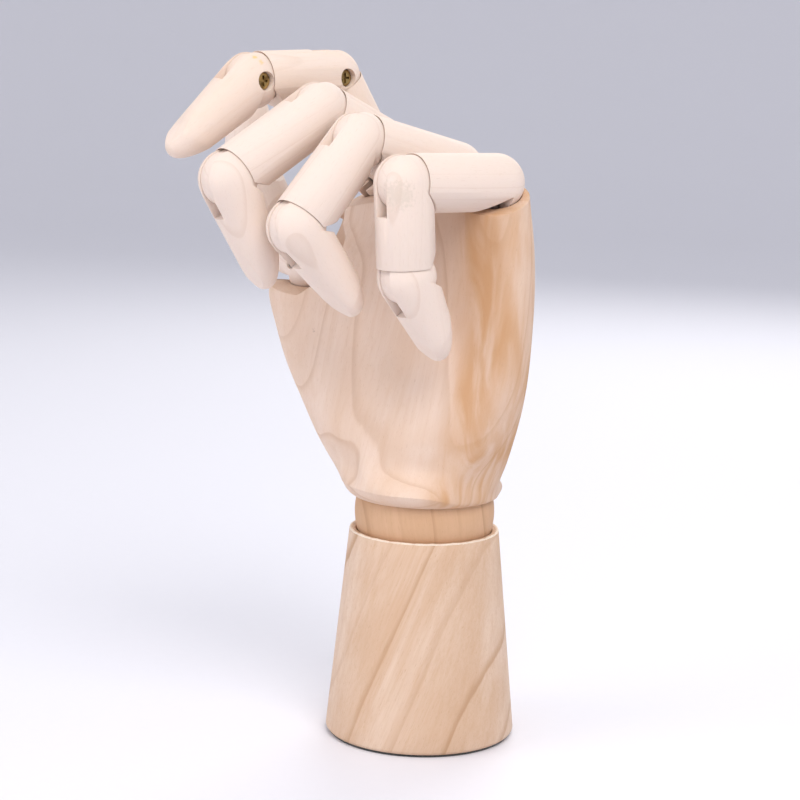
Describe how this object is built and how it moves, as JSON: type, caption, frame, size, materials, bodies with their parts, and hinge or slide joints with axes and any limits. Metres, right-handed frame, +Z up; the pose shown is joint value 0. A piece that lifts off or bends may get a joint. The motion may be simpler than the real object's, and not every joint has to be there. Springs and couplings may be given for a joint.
{
  "type": "articulated artist hand",
  "caption": "Jointed wooden left hand with curled fingers on a turned stand; every finger, the thumb and the wrist can be posed.",
  "frame": {"origin": "middle of the underside, on the surface the stand rests on", "axes": "+Z up; the palm faces -Y; the thumb is on the -X side and the little finger on the +X side"},
  "size_m": [0.1127, 0.112, 0.221],
  "materials": {
    "wood_base": "fine sanded, unvarnished, tan",
    "wood_wrist": "fine sanded, unvarnished",
    "wood_palm": "fine sanded, unvarnished, with a darker heartwood streak",
    "wood_index": "fine sanded, unvarnished, pale cream",
    "wood_middle": "fine sanded, unvarnished, pale cream",
    "wood_ring": "fine sanded, unvarnished, pale cream",
    "wood_little": "fine sanded, unvarnished, pale cream",
    "wood_thumb": "fine sanded, unvarnished, pale cream",
    "felt": "thin dark felt",
    "screw_brass": "dull yellow plated",
    "spring_steel": "plain wire",
    "hardware_steel": "zinc plated, plain"
  },
  "bodies": {
    "stand": {"base": "wood_base", "base_felt": "felt", "spindle_washer": "hardware_steel", "spindle_spring": "spring_steel"},
    "wrist": {"wrist_barrel": "wood_wrist", "wrist_pin": "hardware_steel", "wrist_spindle": "hardware_steel", "spindle_nut": "hardware_steel"},
    "palm": {"palm": "wood_palm", "wrist_eye_bolt": "hardware_steel", "knuckle_bushes": "hardware_steel", "knuckle_springs": "spring_steel"},
    "index_knuckle": {"index_eye_bolt": "hardware_steel", "index_eye_nut": "hardware_steel"},
    "index_root": {"index_proximal": "wood_index", "index_knuckle_pin": "hardware_steel"},
    "index_mid": {"index_middle": "wood_index", "index_pip_screw": "screw_brass"},
    "index_tip": {"index_distal": "wood_index", "index_dip_screw": "screw_brass"},
    "middle_knuckle": {"middle_eye_bolt": "hardware_steel", "middle_eye_nut": "hardware_steel"},
    "middle_root": {"middle_proximal": "wood_middle", "middle_knuckle_pin": "hardware_steel"},
    "middle_mid": {"middle_middle": "wood_middle", "middle_pip_screw": "screw_brass"},
    "middle_tip": {"middle_distal": "wood_middle", "middle_dip_screw": "screw_brass"},
    "ring_knuckle": {"ring_eye_bolt": "hardware_steel", "ring_eye_nut": "hardware_steel"},
    "ring_root": {"ring_proximal": "wood_ring", "ring_knuckle_pin": "hardware_steel"},
    "ring_mid": {"ring_middle": "wood_ring", "ring_pip_screw": "screw_brass"},
    "ring_tip": {"ring_distal": "wood_ring", "ring_dip_screw": "screw_brass"},
    "little_knuckle": {"little_eye_bolt": "hardware_steel", "little_eye_nut": "hardware_steel"},
    "little_root": {"little_proximal": "wood_little", "little_knuckle_pin": "hardware_steel"},
    "little_mid": {"little_middle": "wood_little", "little_pip_screw": "screw_brass"},
    "little_tip": {"little_distal": "wood_little", "little_dip_screw": "screw_brass"},
    "thumb_knuckle": {"thumb_eye_bolt": "hardware_steel", "thumb_eye_nut": "hardware_steel"},
    "thumb_root": {"thumb_base": "wood_thumb", "thumb_knuckle_pin": "hardware_steel"},
    "thumb_mid": {"thumb_proximal": "wood_thumb", "thumb_mcp_screw": "screw_brass"},
    "thumb_tip": {"thumb_distal": "wood_thumb", "thumb_ip_screw": "screw_brass"}
  },
  "joints": [
    {"name": "wrist_swivel", "type": "hinge", "parent": "stand", "child": "wrist", "pos_m": [0, 0, 0.074], "axis": [0, 0, 1], "continuous": true},
    {"name": "wrist_tilt", "type": "hinge", "parent": "wrist", "child": "palm", "pos_m": [0, 0, 0.074], "axis": [1, 0, 0], "range_deg": [-15, 15]},
    {"name": "index_spread", "type": "hinge", "parent": "palm", "child": "index_knuckle", "pos_m": [-0.02895, 0.0011, 0.1814], "axis": [0, 0, 1], "range_deg": [-12, 3]},
    {"name": "index_mcp", "type": "hinge", "parent": "index_knuckle", "child": "index_root", "pos_m": [-0.02895, 0.0011, 0.1814], "axis": [-1, 0, 0], "range_deg": [-48, 38]},
    {"name": "index_pip", "type": "hinge", "parent": "index_root", "child": "index_mid", "pos_m": [-0.02895, -0.019, 0.21235], "axis": [1, 0, 0], "range_deg": [-59, 35]},
    {"name": "index_dip", "type": "hinge", "parent": "index_mid", "child": "index_tip", "pos_m": [-0.02895, -0.05058, 0.21124], "axis": [1, 0, 0], "range_deg": [-36, 50]},
    {"name": "middle_spread", "type": "hinge", "parent": "palm", "child": "middle_knuckle", "pos_m": [-0.00965, 0.0011, 0.1846], "axis": [0, 0, 1], "range_deg": [-3, 1.5]},
    {"name": "middle_mcp", "type": "hinge", "parent": "middle_knuckle", "child": "middle_root", "pos_m": [-0.00965, 0.0011, 0.1846], "axis": [-1, 0, 0], "range_deg": [-25, 70]},
    {"name": "middle_pip", "type": "hinge", "parent": "middle_root", "child": "middle_mid", "pos_m": [-0.00965, -0.03796, 0.20281], "axis": [1, 0, 0], "range_deg": [-56, 38]},
    {"name": "middle_dip", "type": "hinge", "parent": "middle_mid", "child": "middle_tip", "pos_m": [-0.00965, -0.07182, 0.18247], "axis": [1, 0, 0], "range_deg": [-86, 6]},
    {"name": "ring_spread", "type": "hinge", "parent": "palm", "child": "ring_knuckle", "pos_m": [0.00965, 0.0011, 0.1848], "axis": [0, 0, 1], "range_deg": [-1.5, 3]},
    {"name": "ring_mcp", "type": "hinge", "parent": "ring_knuckle", "child": "ring_root", "pos_m": [0.00965, 0.0011, 0.1848], "axis": [-1, 0, 0], "range_deg": [-14, 80]},
    {"name": "ring_pip", "type": "hinge", "parent": "ring_root", "child": "ring_mid", "pos_m": [0.00965, -0.03752, 0.19443], "axis": [1, 0, 0], "range_deg": [-62, 22]},
    {"name": "ring_dip", "type": "hinge", "parent": "ring_mid", "child": "ring_tip", "pos_m": [0.00965, -0.06027, 0.16916], "axis": [1, 0, 0], "range_deg": [-84, 6]},
    {"name": "little_spread", "type": "hinge", "parent": "palm", "child": "little_knuckle", "pos_m": [0.02895, 0.0011, 0.1822], "axis": [0, 0, 1], "range_deg": [-2, 12]},
    {"name": "little_mcp", "type": "hinge", "parent": "little_knuckle", "child": "little_root", "pos_m": [0.02895, 0.0011, 0.1822], "axis": [-1, 0, 0], "range_deg": [0, 90]},
    {"name": "little_pip", "type": "hinge", "parent": "little_root", "child": "little_mid", "pos_m": [0.02895, -0.03509, 0.18283], "axis": [1, 0, 0], "range_deg": [-95, 2]},
    {"name": "little_dip", "type": "hinge", "parent": "little_mid", "child": "little_tip", "pos_m": [0.02895, -0.03313, 0.1548], "axis": [1, 0, 0], "range_deg": [-27.5, 18]},
    {"name": "thumb_swivel", "type": "hinge", "parent": "palm", "child": "thumb_knuckle", "pos_m": [-0.0366, -0.0212, 0.1522], "axis": [0, 0, 1], "range_deg": [-20, 15]},
    {"name": "thumb_root_hinge", "type": "hinge", "parent": "thumb_knuckle", "child": "thumb_root", "pos_m": [-0.0366, -0.0212, 0.1522], "axis": [0.1736, -0.9848, 0], "range_deg": [-12, 10]},
    {"name": "thumb_mcp", "type": "hinge", "parent": "thumb_root", "child": "thumb_mid", "pos_m": [-0.05025, -0.02361, 0.1602], "axis": [-0.1736, 0.9848, 0], "range_deg": [-31, 20]},
    {"name": "thumb_ip", "type": "hinge", "parent": "thumb_mid", "child": "thumb_tip", "pos_m": [-0.06419, -0.02607, 0.18201], "axis": [-0.1736, 0.9848, 0], "range_deg": [-31, 40]}
  ]
}
